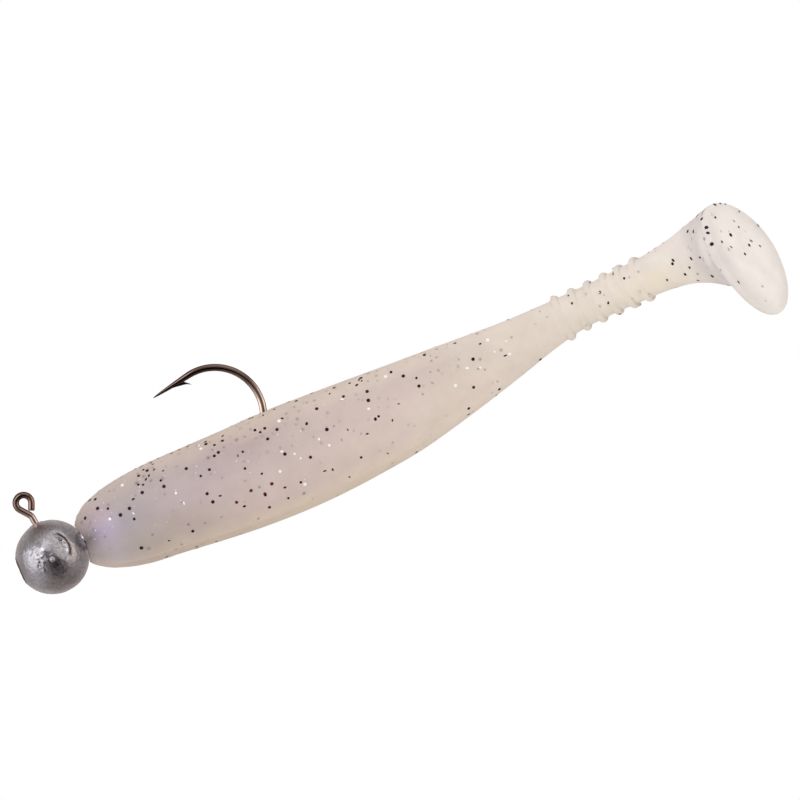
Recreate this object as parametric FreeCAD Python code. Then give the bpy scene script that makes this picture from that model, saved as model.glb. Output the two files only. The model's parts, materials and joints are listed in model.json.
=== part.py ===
import FreeCAD, Part
import math
import os
from FreeCAD import Matrix, Placement, Vector

# A four-inch soft-plastic paddle-tail swimbait, rigged on a round lead jig head.
#
# Frame: X runs along the bait from the head to the tail, Y is sideways, Z is up,
# and the origin is the centre of the hook's eye, where the line is tied.
# Everything is first laid out from the centre of the lead ball, with the bait
# straight, and then kicked at the tail and moved so that the eye is the origin.
# Millimetres throughout.

# ---- lead jig head ----
BALL_R = 5.1
SPRUE_FLAT_R = 1.45          # flat left on the front of the ball by the cut sprue
COLLAR_R = 1.55              # neck of lead cast round the shank behind the ball
COLLAR_END = 13.0            # distance of its end from the ball's centre
BARB_RING_R = 2.3
BARB_RING_LENGTH = 2.2
BARB_RINGS = (7.4, 10.4)     # where the two keeper rings start, from the ball's centre

# ---- hook wire ----
WIRE_R = 0.45
EYE_X, EYE_Z = -0.67, 8.34   # centre of the eye
EYE_RING_R = 1.07            # of the wire's centre line
EYE_END_LENGTH = 0.97        # straight end of the wire, from its cut to the ring
EYE_END_HEADING = 66.5       # degrees above +X, from the cut towards the ring
EYE_TURN = 242.0             # how far the wire is bent round the eye
NECK_SLANT_LENGTH = 1.78     # from the ring to the corner of the neck
NECK_HEADING = -84.0         # of the neck where it goes down into the ball
NECK_ARC_R = 1.0
SHANK_RISE = 4.3             # degrees above the X axis
SHANK_CORNER_R = 1.2         # right-angle bend of the wire inside the ball
BEND_X, BEND_Z = 27.95, 8.76
BEND_R = 6.66
SPEAR_HEADING = 189.5        # degrees, the direction in which the point lies
SPEAR_LENGTH = 5.7
FORGED_HALF_DEPTH = 0.5      # in the plane of the bend
FORGED_HALF_WIDTH = 0.36     # across it
SPEAR_TAPER = ((0.0, 0.46, 0.36), (0.4, 0.38, 0.33), (0.8, 0.19, 0.18), (1.0, 0.03, 0.03))
BARB_HALF_WIDTH = 0.17
# outline of the barb: distance along the spear from its root, depth below its centre line
BARB_OUTLINE = ((2.54, 0.1), (2.54, 0.34), (1.22, 0.75), (0.29, 1.37), (0.61, 0.89),
                (0.86, 0.49), (0.86, 0.1))

# ---- soft body: x, lowest z, highest z, half width ----
BODY_STATIONS = (
    (4.0, -2.0, 1.95, 1.9),
    (4.6, -2.9, 3.0, 2.8),
    (6.0, -4.05, 4.4, 3.85),
    (8.5, -5.2, 5.5, 4.7),
    (12.0, -6.1, 6.25, 5.25),
    (16.0, -6.5, 6.6, 5.5),
    (22.0, -7.2, 6.65, 5.75),
    (28.0, -7.75, 6.65, 5.9),
    (34.0, -8.0, 6.75, 5.95),
    (40.0, -7.9, 6.5, 5.8),
    (46.0, -7.45, 6.2, 5.45),
    (52.0, -6.75, 5.85, 4.95),
    (58.0, -5.5, 5.55, 4.2),
    (64.0, -4.05, 5.2, 3.35),
    (69.0, -2.75, 4.95, 2.7),
    (73.5, -1.5, 4.9, 2.15),
    (77.9, -0.5, 4.95, 1.85),
    (83.2, -0.12, 5.1, 1.75),
    (88.3, -0.1, 5.4, 1.75),
    (92.5, -0.1, 5.65, 1.8),
)
STEM_STATIONS = BODY_STATIONS[-6:]
SECTION_POWER = 2.15         # 2 is a true ellipse, more is squarer

# slit along the belly that a hook can lie in
BELLY_SLIT_WIDTH = 0.6
BELLY_SLIT = ((18.0, -10.0), (18.0, -6.0), (23.0, -4.7), (50.0, -3.9), (56.0, -5.4), (56.0, -10.0))

# ---- ribs round the tail stem ----
RIB_COUNT = 6
RIB_PITCH = 2.5
FIRST_RIB_X = 76.9
RIB_BEAD_R = 0.58
RIB_SINK = 0.06              # the bead's centre lies this far under the stem's surface
RIB_LEAN = 2.5               # degrees, tops forward

# ---- flare behind the last rib: x, lowest z, highest z, half width, lean in degrees ----
FLARE_STATIONS = (
    (89.0, -0.1, 5.42, 1.75, 0.0),
    (91.2, -0.1, 5.57, 1.78, 0.0),
    (93.8, -0.25, 5.9, 1.88, 1.0),
    (96.5, -0.6, 6.35, 2.1, 2.0),
    (99.2, -1.5, 6.95, 2.6, 4.0),
    (101.8, -2.95, 7.5, 3.45, 6.0),
    (104.0, -4.3, 8.05, 4.75, 7.5),
    (105.75, -5.5, 8.35, 6.2, 8.5),
)

# ---- paddle: a bowed oval disc that leans back at the bottom ----
PADDLE_X, PADDLE_Z = 106.38, -0.3
PADDLE_HALF_HEIGHT = 8.75
PADDLE_HALF_WIDTH = 6.9
PADDLE_THICKNESS = 1.0
PADDLE_BOW_R = 59.0          # radius of the bow, bulging backwards
PADDLE_LEAN = 8.5            # degrees
PADDLE_RIM_R = 0.4

# ---- where the soft plastic bends ----
# Every hinge stands in a V gap, on a round knuckle of the rear piece.
GAP_AT_AXIS = 0.1
KNUCKLE_CLEARANCE = 0.05
BODY_HINGES_X = (43.0, 57.0)
BODY_HINGE_SWING = 6.0       # degrees each way
BODY_KNUCKLE_R = 2.0
TAIL_HINGES = RIB_COUNT + 1  # one in front of each rib and one behind the last
KICK_SWING = 11.25           # degrees each way at each upright hinge: 1st, 3rd, 5th, 7th
LIFT_SWING = 7.0             # degrees each way at each level hinge: 2nd, 4th, 6th
TAIL_KNUCKLE_R = 0.62
REST_KICK = -8.25            # degrees at each upright hinge as the bait lies, to its right

FAR = 40.0                   # longer than any cross-section


# ---------------------------------------------------------------- hook wire

class WirePath:
    """A line drawn in the XZ plane: a place, and a heading in degrees from +X towards +Z."""

    def __init__(self, x, z, heading):
        self.x, self.z, self.heading = x, z, heading
        self.edges = []

    def point(self):
        return Vector(self.x, 0, self.z)

    def line(self, length):
        start = self.point()
        self.x += length * math.cos(math.radians(self.heading))
        self.z += length * math.sin(math.radians(self.heading))
        self.edges.append(Part.makeLine(start, self.point()))

    def arc(self, radius, turn):
        """Turns left (anticlockwise seen from -Y) for a positive turn."""
        start = self.point()
        self.move_round(radius, turn / 2)
        middle = self.point()
        self.move_round(radius, turn / 2)
        self.edges.append(Part.Arc(start, middle, self.point()).toShape())

    def move_round(self, radius, turn):
        side = math.copysign(1.0, turn)
        before = math.radians(self.heading)
        after = math.radians(self.heading + turn)
        self.x += side * radius * (math.sin(after) - math.sin(before))
        self.z -= side * radius * (math.cos(after) - math.cos(before))
        self.heading += turn


def wire_section(x, z, heading, half_depth, half_width):
    """A round or oval section square to the heading, deep in the XZ plane."""
    if abs(half_depth - half_width) < 1e-9:
        curve = Part.Circle(Vector(0, 0, 0), Vector(0, 0, 1), half_depth)
    else:
        curve = Part.Ellipse(Vector(0, 0, 0), half_depth, half_width)
    c = math.cos(math.radians(heading))
    s = math.sin(math.radians(heading))
    edge = curve.toShape()
    edge.Placement = Placement(Matrix(s, 0, c, x,
                                      0, 1, 0, 0,
                                      -c, 0, s, z,
                                      0, 0, 0, 1))
    return Part.Wire([edge])


def length_to_shank(path):
    """How far ahead of the path the shank's line lies, which passes through the ball's centre."""
    slope = math.tan(math.radians(SHANK_RISE))
    heading = math.radians(path.heading)
    return (slope * path.x - path.z) / (math.sin(heading) - slope * math.cos(heading))


def round_wire():
    """Eye ring, neck, the corner inside the ball and the shank, in round wire."""
    heading = math.radians(EYE_END_HEADING)
    path = WirePath(EYE_X + EYE_RING_R * math.sin(heading) - EYE_END_LENGTH * math.cos(heading),
                    EYE_Z - EYE_RING_R * math.cos(heading) - EYE_END_LENGTH * math.sin(heading),
                    EYE_END_HEADING)
    first = wire_section(path.x, path.z, path.heading, WIRE_R, WIRE_R)
    path.line(EYE_END_LENGTH)
    path.arc(EYE_RING_R, EYE_TURN)
    neck_turn = NECK_HEADING - (path.heading - 360)
    neck_tangent = NECK_ARC_R * math.tan(math.radians(abs(neck_turn) / 2))
    path.line(NECK_SLANT_LENGTH - neck_tangent)
    path.arc(NECK_ARC_R, neck_turn)
    corner_turn = SHANK_RISE - NECK_HEADING
    corner_tangent = SHANK_CORNER_R * math.tan(math.radians(corner_turn / 2))
    path.line(length_to_shank(path) - corner_tangent)
    path.arc(SHANK_CORNER_R, corner_turn)
    rise = math.radians(SHANK_RISE)
    tangent_x = BEND_X + BEND_R * math.sin(rise)
    path.line((tangent_x - path.x) / math.cos(rise))
    wire = Part.Wire(path.edges).makePipeShell([first], True, True)
    return wire, path


def forged_bend(path):
    """The round wire flattened into a deep oval over the bend."""
    path.heading %= 360
    turn = SPEAR_HEADING - path.heading
    steps = 16
    sections = []
    for i in range(steps + 1):
        flat = min(1.0, 4.0 * i / steps)
        depth = WIRE_R + (FORGED_HALF_DEPTH - WIRE_R) * flat
        width = WIRE_R + (FORGED_HALF_WIDTH - WIRE_R) * flat
        if i == steps:
            depth = SPEAR_TAPER[0][1]
        sections.append(wire_section(path.x, path.z, path.heading, depth, width))
        if i < steps:
            path.move_round(BEND_R, turn / steps)
    return Part.makeLoft(sections, True, False)


def spear(path):
    """The straight point, tapering to its tip."""
    c = math.cos(math.radians(path.heading))
    s = math.sin(math.radians(path.heading))
    sections = []
    for share, depth, width in SPEAR_TAPER:
        along = share * SPEAR_LENGTH
        sections.append(wire_section(path.x + along * c, path.z + along * s, path.heading, depth, width))
    return Part.makeLoft(sections, True, False)


def barb(path):
    """The sliver cut from the inner side of the point, standing back towards the bend."""
    c = math.cos(math.radians(path.heading))
    s = math.sin(math.radians(path.heading))
    corners = []
    for along, below in BARB_OUTLINE:
        x = path.x + along * c - below * s
        z = path.z + along * s + below * c
        corners.append(Vector(x, -BARB_HALF_WIDTH, z))
    face = Part.Face(Part.makePolygon(corners + corners[:1]))
    return face.extrude(Vector(0, 2 * BARB_HALF_WIDTH, 0))


def jig_hook():
    wire, path = round_wire()
    bend = forged_bend(path)
    return wire.fuse([bend, spear(path), barb(path)]).removeSplitter()


# ---------------------------------------------------------------- lead head

def along_shank(distance):
    rise = math.radians(SHANK_RISE)
    return Vector(distance * math.cos(rise), 0, distance * math.sin(rise))


def lead_head(hook):
    """Ball with its sprue flat, and the collar with two keeper rings behind it."""
    ball = Part.makeSphere(BALL_R)
    flat_x = math.sqrt(BALL_R ** 2 - SPRUE_FLAT_R ** 2)
    ball = ball.cut(Part.makeBox(FAR, FAR, FAR, Vector(-flat_x - FAR, -FAR / 2, -FAR / 2)))
    shank = along_shank(1)
    lead = [Part.makeCylinder(COLLAR_R, COLLAR_END, Vector(0, 0, 0), shank)]
    for start in BARB_RINGS:
        lead.append(Part.makeCone(BARB_RING_R, COLLAR_R, BARB_RING_LENGTH, along_shank(start), shank))
    return ball.fuse(lead).removeSplitter().cut(hook)


# ---------------------------------------------------------------- soft plastic

def section(x, low, high, half_width, lean=0.0):
    """A closed, slightly squared oval across the X axis, its foot leaning back by some degrees."""
    middle = (low + high) / 2
    half_height = (high - low) / 2
    steps = 20
    points = []
    for i in range(steps):
        a = 2 * math.pi * i / steps
        y = math.copysign(abs(math.sin(a)) ** (2 / SECTION_POWER), math.sin(a))
        z = math.copysign(abs(math.cos(a)) ** (2 / SECTION_POWER), math.cos(a))
        points.append(Vector(x, half_width * y, middle + half_height * z))
    curve = Part.BSplineCurve()
    curve.interpolate(points, PeriodicFlag=True)
    edge = curve.toShape()
    edge.rotate(Vector(x, 0, middle), Vector(0, 1, 0), -lean)
    return Part.Wire([edge])


def loft(stations):
    return Part.makeLoft([section(*station) for station in stations], True, False)


def between(stations, x):
    """The section's sizes at x, in a straight line between the two stations beside it."""
    for here, after in zip(stations, stations[1:]):
        if here[0] <= x <= after[0]:
            share = (x - here[0]) / (after[0] - here[0])
            return tuple(a + share * (b - a) for a, b in zip(here[1:], after[1:]))
    raise ValueError("no station beside x = %s" % x)


def belly_slit():
    corners = [Vector(x, -BELLY_SLIT_WIDTH / 2, z) for x, z in BELLY_SLIT]
    face = Part.Face(Part.makePolygon(corners + corners[:1]))
    return face.extrude(Vector(0, BELLY_SLIT_WIDTH, 0))


def rib_bead(x):
    """A half-round bead all the way round the stem."""
    low, high, half_width = between(BODY_STATIONS, x)
    sections = []
    for angle in range(-90, 91, 30):
        proud = RIB_BEAD_R * math.cos(math.radians(angle)) - RIB_SINK
        place = x + RIB_BEAD_R * math.sin(math.radians(angle))
        sections.append(section(place, low - proud, high + proud, half_width + proud))
    bead = Part.makeLoft(sections, True, False)
    bead.rotate(Vector(x, 0, (low + high) / 2), Vector(0, 1, 0), -RIB_LEAN)
    return bead


def paddle_disc():
    """The oval disc, cut from a bowed shell, its foot leaning back."""
    oval = Part.Face(Part.Wire([Part.Ellipse(
        Vector(0, 0, 0), PADDLE_HALF_HEIGHT, PADDLE_HALF_WIDTH).toShape()]))
    oval.Placement = Placement(Matrix(0, 0, 1, -FAR / 4,
                                      0, 1, 0, 0,
                                      -1, 0, 0, 0,
                                      0, 0, 0, 1))
    prism = oval.extrude(Vector(FAR / 2, 0, 0))
    disc = prism.common(bowed_shell(PADDLE_THICKNESS / 2)).cut(bowed_shell(-PADDLE_THICKNESS / 2))
    disc = disc.makeFillet(PADDLE_RIM_R, disc.Edges)
    disc.rotate(Vector(0, 0, 0), Vector(0, 1, 0), -PADDLE_LEAN)
    disc.translate(Vector(PADDLE_X, 0, PADDLE_Z))
    return disc


def bowed_shell(proud):
    """Everything in front of a surface parallel to the bowed middle of the paddle."""
    axis_start = Vector(-PADDLE_BOW_R, -FAR / 2, 0)
    return Part.makeCylinder(PADDLE_BOW_R + proud, FAR, axis_start, Vector(0, 1, 0))


# ---------------------------------------------------------------- hinges

class Hinge:
    """A bending place: where it is, which way its axis lies and how far it swings."""

    def __init__(self, x, z, upright, swing, knuckle_r, rest=0.0):
        self.centre = Vector(x, 0, z)
        self.axis = Vector(0, 0, 1) if upright else Vector(0, 1, 0)
        self.swing = swing
        self.knuckle_r = knuckle_r
        self.rest = rest

    def behind(self, gap, knuckle_r):
        """All space behind the V gap, with the round knuckle that stands into it."""
        slope = math.tan(math.radians(self.swing / 2))
        x = self.centre.x + gap
        corners = [(x, 0), (x + math.copysign(FAR * slope, gap), FAR), (x + 3 * FAR, FAR),
                   (x + 3 * FAR, -FAR), (x + math.copysign(FAR * slope, gap), -FAR)]
        if self.axis.z:
            points = [Vector(a, b, -FAR) for a, b in corners]
        else:
            points = [Vector(a, -FAR, self.centre.z + b) for a, b in corners]
        face = Part.Face(Part.makePolygon(points + points[:1]))
        space = face.extrude(self.axis * 2 * FAR)
        start = self.centre - self.axis * FAR
        return space.fuse(Part.makeCylinder(knuckle_r, 2 * FAR, start, self.axis))

    def rear_side(self):
        return self.behind(GAP_AT_AXIS / 2, self.knuckle_r)

    def front_cutter(self):
        return self.behind(-GAP_AT_AXIS / 2, self.knuckle_r + KNUCKLE_CLEARANCE)


def hinge_chain():
    """Two hinges in the body, then one in each groove of the stem, crossed in turn."""
    hinges = [Hinge(x, 0, True, BODY_HINGE_SWING, BODY_KNUCKLE_R) for x in BODY_HINGES_X]
    for i in range(TAIL_HINGES):
        x = FIRST_RIB_X + (i - 0.5) * RIB_PITCH
        low, high, _ = between(BODY_STATIONS, x)
        z = (low + high) / 2
        if i % 2 == 0:
            hinges.append(Hinge(x, z, True, KICK_SWING, TAIL_KNUCKLE_R, REST_KICK))
        else:
            hinges.append(Hinge(x, z, False, LIFT_SWING, TAIL_KNUCKLE_R))
    return hinges


def kicked(shape, hinges):
    """Turns a piece of the straight bait by every hinge in front of it."""
    for hinge in reversed(hinges):
        if hinge.rest:
            shape.rotate(hinge.centre, hinge.axis, hinge.rest)
    return shape


# ---------------------------------------------------------------- assembly

def soft_pieces(head, hook, hinges):
    """The soft plastic from nose to tail, divided at the hinges."""
    trunk = loft(BODY_STATIONS).cut(belly_slit())
    stem = loft(STEM_STATIONS)
    tail = loft(FLARE_STATIONS).fuse(paddle_disc())
    ribs = [rib_bead(FIRST_RIB_X + i * RIB_PITCH) for i in range(RIB_COUNT)]
    names = ["body_front", "body_middle", "body_rear"]
    names += ["tail_rib_%d" % (i + 1) for i in range(RIB_COUNT)]
    pieces = {}
    for i, name in enumerate(names):
        piece = stem.fuse(ribs[i - 3]) if i >= 3 else trunk
        if i > 0:
            piece = piece.common(hinges[i - 1].rear_side())
        pieces[name] = piece.cut(hinges[i].front_cutter())
    pieces["tail_paddle"] = tail.common(hinges[-1].rear_side())
    # the nose is seated on the ball, and skewered by the collar and the hook
    seated = pieces["body_front"].cut(Part.makeSphere(BALL_R))
    pieces["body_front"] = seated.cut(head).cut(hook)
    for i, name in enumerate(pieces):
        pieces[name] = kicked(pieces[name], hinges[:i])
    return pieces


def main():
    os.makedirs("parts", exist_ok=True)
    hook = jig_hook()
    head = lead_head(hook)
    pieces = {"lead_head": head, "jig_hook": hook}
    pieces.update(soft_pieces(head, hook, hinge_chain()))
    for name, shape in pieces.items():
        shape.translate(Vector(-EYE_X, 0, -EYE_Z))
        solids = shape.Solids
        assert len(solids) == 1 and shape.isValid(), "%s has %d solids" % (name, len(solids))
        solids[0].exportStep("parts/%s.step" % name)


main()
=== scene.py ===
import json
from math import asin, copysign, cos, exp, hypot, pi, radians, sin, sqrt, tan
import bpy
import numpy as np
from mathutils import Matrix, Vector, noise


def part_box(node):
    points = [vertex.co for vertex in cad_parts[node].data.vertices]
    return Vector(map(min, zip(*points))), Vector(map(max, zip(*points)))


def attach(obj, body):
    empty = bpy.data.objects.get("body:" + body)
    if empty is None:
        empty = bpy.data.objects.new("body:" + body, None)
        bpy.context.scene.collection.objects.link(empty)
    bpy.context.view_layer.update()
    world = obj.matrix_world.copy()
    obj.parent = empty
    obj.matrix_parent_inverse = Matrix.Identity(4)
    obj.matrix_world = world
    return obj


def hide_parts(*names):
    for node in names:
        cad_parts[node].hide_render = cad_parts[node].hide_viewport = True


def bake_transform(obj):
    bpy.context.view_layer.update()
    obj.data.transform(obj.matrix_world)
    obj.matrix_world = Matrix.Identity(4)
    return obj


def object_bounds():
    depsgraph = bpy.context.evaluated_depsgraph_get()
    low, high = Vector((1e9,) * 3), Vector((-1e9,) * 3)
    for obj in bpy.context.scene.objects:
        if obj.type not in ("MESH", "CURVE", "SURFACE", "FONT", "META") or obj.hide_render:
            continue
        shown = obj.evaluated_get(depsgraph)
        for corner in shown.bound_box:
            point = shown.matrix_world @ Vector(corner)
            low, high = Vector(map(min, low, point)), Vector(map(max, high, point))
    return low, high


# The looks of a paddle-tail swimbait on a round jig head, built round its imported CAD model.
# Lengths are in millimetres up to the moment a mesh is made. Most of them are measured from
# the centre of the lead ball, with the bait straight: X to the tail, Y sideways, Z up.

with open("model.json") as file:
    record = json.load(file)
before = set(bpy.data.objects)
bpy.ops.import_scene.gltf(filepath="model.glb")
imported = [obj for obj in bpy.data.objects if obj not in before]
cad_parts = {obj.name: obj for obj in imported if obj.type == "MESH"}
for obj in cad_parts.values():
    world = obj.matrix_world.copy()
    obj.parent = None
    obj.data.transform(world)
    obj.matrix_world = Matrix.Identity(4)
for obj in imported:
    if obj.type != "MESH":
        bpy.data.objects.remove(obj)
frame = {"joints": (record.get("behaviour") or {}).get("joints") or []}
CAD_LOW, CAD_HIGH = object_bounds()
MM = 0.001

# ---- places and sizes read from the frame ----
HEAD_LOW, HEAD_HIGH = [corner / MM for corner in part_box("lead_head")]
BALL_R = (HEAD_HIGH.z - HEAD_LOW.z) / 2
SPRUE_FLAT_R = 1.45
BALL_CENTRE = np.array([HEAD_LOW.x + sqrt(BALL_R ** 2 - SPRUE_FLAT_R ** 2), 0.0,
                        (HEAD_HIGH.z + HEAD_LOW.z) / 2])

# ---- soft body outline: x, lowest z, highest z, half width ----
BODY_STATIONS = (
    (4.0, -2.0, 1.95, 1.9), (4.6, -2.9, 3.0, 2.8), (6.0, -4.05, 4.4, 3.85), (8.5, -5.2, 5.5, 4.7),
    (12.0, -6.1, 6.25, 5.25), (16.0, -6.5, 6.6, 5.5), (22.0, -7.2, 6.65, 5.75),
    (28.0, -7.75, 6.65, 5.9), (34.0, -8.0, 6.75, 5.95), (40.0, -7.9, 6.5, 5.8),
    (46.0, -7.45, 6.2, 5.45), (52.0, -6.75, 5.85, 4.95), (58.0, -5.5, 5.55, 4.2),
    (64.0, -4.05, 5.2, 3.35), (69.0, -2.75, 4.95, 2.7), (73.5, -1.5, 4.9, 2.15),
    (77.9, -0.5, 4.95, 1.85), (83.2, -0.12, 5.1, 1.75), (88.3, -0.1, 5.4, 1.75),
    (92.5, -0.1, 5.65, 1.8))
# flare behind the last rib: the same, and how far its section's foot leans back, in degrees
FLARE_STATIONS = (
    (89.0, -0.1, 5.42, 1.75, 0.0), (91.2, -0.1, 5.57, 1.78, 0.0), (93.8, -0.25, 5.9, 1.88, 1.0),
    (96.5, -0.6, 6.35, 2.1, 2.0), (99.2, -1.5, 6.95, 2.6, 4.0), (101.8, -2.95, 7.5, 3.45, 6.0),
    (104.0, -4.3, 8.05, 4.75, 7.5), (105.75, -5.5, 8.35, 6.2, 8.5))
SECTION_POWER = 2.15
NOSE_X = 4.42  # where the nose's rim meets the ball
NOSE_SIDES_BACK = 0.62  # and how much further back it lies at the sides
NOSE_SEAT_SIDES = 0.62  # share by which the hollow on the ball is narrower at the sides
NOSE_CLEAR = 0.02  # between the ball and the hollow that sits on it
STEM_X = 74.7  # where the ribbed stem begins
FLARE_X = 91.0  # where the flare begins
FLARE_FOOT_X = 105.2  # where the flare meets the paddle's front face

# ---- ribs ----
RIB_COUNT = 6
RIB_BEAD_R = 0.56
RIB_PROUD = 0.52
RIB_SIDES = 0.3  # share of that height left at the sides
RIB_LEAN = 2.5  # degrees, tops forward
RIB_FOOT = 0.66  # from a rib's middle to the foot of its bead
RIB_FOOT_PROUD = 0.02
RIB_CLEAR = 0.85  # and to where the plain stem begins again

# ---- paddle ----
PADDLE_X, PADDLE_Z = 106.38, -0.3
PADDLE_HALF_HEIGHT = 8.75
PADDLE_HALF_WIDTH = 6.9
PADDLE_HALF_THICKNESS = 0.5
PADDLE_BOW_R = 59.0
PADDLE_FOOT_BACK = 0.45  # how far its foot sweeps back beyond that bow
PADDLE_FOOT_NARROW = 0.06  # share by which its foot is narrower
PADDLE_LEAN = 8.5
PADDLE_RIM_R = 0.42

# ---- belly ----
SLIT_START, SLIT_END = 18.0, 55.0
SLIT_DEPTH = 1.5
SLIT_HALF_ANGLE = 2.4  # degrees round the section, either side of the bottom
CHINE_ANGLE = 31.0  # degrees up from the bottom
SOFTENING = 50  # rounds of evening out the shading of flare, rim and paddle
BEAD_SHADING = 0.06  # share of the ribs' own shape in their shading
CHINE_PROUD = 0.012  # share of the radius by which the flank overhangs the belly

# ---- hook wire ----
WIRE_R = 0.45
EYE_RING_R = 1.07
EYE_END_LENGTH = 1.07  # straight end of the wire, from its cut to the ring
EYE_END_HEADING = 66.5  # degrees, from the cut towards the ring
EYE_TURN = 242.0  # how far the wire is bent round the eye
NECK_SLANT_LENGTH = 1.78  # from the ring to the neck's corner
NECK_HEADING = -84.0
NECK_ARC_R = 1.0
NECK_X = -0.27  # where the neck enters the ball
SHANK_RISE = 4.3
SHANK_CORNER_R = 1.2
BEND_X = 27.95  # middle of the bend
BEND_R = 6.66
SPEAR_HEADING = 189.5
SPEAR_LENGTH = 5.7
FORGED_HALF_DEPTH = 0.5
FORGED_HALF_WIDTH = 0.36
HOOK_EXIT_X = 34.2  # where the hook leaves the back
HOOK_EXIT_DEPTH = 0.22  # and how deep it draws the skin in there

# ---- lead ball ----
UNDER_CAD = 0.02  # the ball's skin lies this far inside the CAD ball
SPRUE_GROOVE_OUT = 0.1  # from the sprue flat's edge to the groove round it
PIT_X, PIT_Z = 1.62, 0.92  # middle of the big oval pit on the near side
PIT_HALF_WIDTH, PIT_HALF_LENGTH = 0.95, 1.45
PIT_TILT = radians(8)
# blisters on the near side: x, z, stretch along z, height, radius
BLISTERS = ((-0.72, 1.5, 1.25, 0.17, 0.62), (-0.05, -0.3, 1.0, 0.26, 0.24))

# ---- camera: level, along +Y, rolled so that the bait points up to the right ----
CAMERA_ROLL = radians(23.5)
RIGHT = Vector((cos(CAMERA_ROLL), 0, -sin(CAMERA_ROLL)))
UP = Vector((sin(CAMERA_ROLL), 0, cos(CAMERA_ROLL)))
NEAR = Vector((0, -1, 0))
FRAME_WIDTH = 109.1
FRAME_CENTRE = (52.0, 0.74)  # x and z, from the ball's centre
LENS = 1000.0
SENSOR = 36.0

RANDOM = np.random.RandomState(11)


# ---- camera ----

def make_camera():
    data = bpy.data.cameras.new("camera")
    data.lens, data.sensor_width = LENS, SENSOR
    distance = FRAME_WIDTH * LENS / SENSOR
    data.clip_start, data.clip_end = 0.01, 50.0
    camera = bpy.data.objects.new("camera", data)
    bpy.context.scene.collection.objects.link(camera)
    turn = Matrix((RIGHT, UP, RIGHT.cross(UP))).transposed().to_4x4()
    x, z = FRAME_CENTRE
    place = Vector((BALL_CENTRE[0] + x, -distance, BALL_CENTRE[2] + z)) * MM
    camera.matrix_world = Matrix.Translation(place) @ turn
    bpy.context.scene.camera = camera


# ---- shape of the soft plastic ----

def ease(t):
    t = np.clip(t, 0.0, 1.0)
    return t * t * (3 - 2 * t)


def bump(t):
    """1 at t = 0, falling smoothly towards 0 on either side."""
    return exp(-t * t)


def curve_through(stations, column):
    """A smooth curve of one column of the stations over their x."""
    xs = np.array([s[0] for s in stations], float)
    ys = np.array([s[column] for s in stations], float)
    slopes = np.gradient(ys, xs)

    def value(x):
        i = int(np.clip(np.searchsorted(xs, x) - 1, 0, len(xs) - 2))
        h = xs[i + 1] - xs[i]
        t = (x - xs[i]) / h
        return ((2 * t ** 3 - 3 * t ** 2 + 1) * ys[i] + (t ** 3 - 2 * t ** 2 + t) * h * slopes[i]
                + (3 * t ** 2 - 2 * t ** 3) * ys[i + 1] + (t ** 3 - t ** 2) * h * slopes[i + 1])
    return value


BODY_LOW, BODY_HIGH, BODY_HALF = [curve_through(BODY_STATIONS, c) for c in (1, 2, 3)]
FLARE_LOW, FLARE_HIGH, FLARE_HALF, FLARE_LEAN = [
    curve_through(FLARE_STATIONS, c) for c in (1, 2, 3, 4)]


def angles_round():
    """Angles round a section from the top, closer together at the chine and the slit."""
    half = np.concatenate([np.arange(0, 138, 4.0), np.arange(138, 160, 1.6),
                           np.arange(160, 175, 3.0), [175.6, 176.6, 177.3, 177.9, 178.8]])
    return np.radians(np.concatenate([half, [180.0], 360.0 - half[:0:-1]]))


AROUND = angles_round()
FROM_BOTTOM = np.degrees(np.abs(np.pi - AROUND))


def oval(low, high, half):
    """Y and Z of a slightly squared oval at every angle round it."""
    power = 2 / SECTION_POWER
    y = half * np.sign(np.sin(AROUND)) * np.abs(np.sin(AROUND)) ** power
    z = (high - low) / 2 * np.sign(np.cos(AROUND)) * np.abs(np.cos(AROUND)) ** power
    return y, z + (low + high) / 2


def leaned(x, y, z, middle, degrees):
    """The ring turned about its middle so that its foot goes back."""
    a = radians(degrees)
    up = z - middle
    return np.stack([x - up * sin(a), y, middle + up * cos(a)], axis=1)


def body_ring(x, proud=0.0, lean=0.0):
    low, high, half = BODY_LOW(x) - proud, BODY_HIGH(x) + proud, BODY_HALF(x) + proud * RIB_SIDES
    y, z = oval(low, high, half)
    middle = (low + high) / 2
    belly = ease((x - 7) / 6) * (1 - ease((x - 58) / 10))
    over = FROM_BOTTOM - CHINE_ANGLE
    swell = 1 + CHINE_PROUD * belly * np.exp(-(over / 26) ** 2) * ease((over + 1.2) / 2.4)
    y, z = y * swell, middle + (z - middle) * swell
    slit = ease((x - SLIT_START) / 1.2) * (1 - ease((x - SLIT_END + 2) / 2))
    z = z + SLIT_DEPTH * slit * (1 - ease((FROM_BOTTOM - SLIT_HALF_ANGLE + 0.6) / 1.6))
    exit_dent = HOOK_EXIT_DEPTH * bump((x - HOOK_EXIT_X) / 0.75)
    z = z - exit_dent * np.exp(-(y / 0.7) ** 2) * (z > middle)
    x = x + NOSE_SIDES_BACK * np.sin(AROUND) ** 2 * (1 - ease((x - NOSE_X) / 4))
    return leaned(x, y, z, middle, lean)


def side_joint(z):
    """1 at the heights where the flare's sides run out into the paddle's rim, 0 above and below."""
    return ease((z + 3.0) / 4.0) * (1 - ease((z - 3.5) / 3.5))


def flare_ring(x):
    low, high, half = FLARE_LOW(x), FLARE_HIGH(x), FLARE_HALF(x)
    y, z = oval(low, high, half)
    height = (z - PADDLE_Z) / PADDLE_HALF_HEIGHT
    disc = PADDLE_HALF_WIDTH * np.sqrt(np.maximum(0, 1 - height ** 2))
    joined = ease((x - 101.5) / (FLARE_FOOT_X - 101.5)) * side_joint(z)
    y = y + np.sign(np.sin(AROUND)) * joined * np.maximum(0, disc - np.abs(y))
    lean = RIB_LEAN * (1 - ease((x - FLARE_X) / 2)) + FLARE_LEAN(x) * ease((x - FLARE_X) / 2)
    return leaned(x, y, z, (low + high) / 2, lean)


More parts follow.
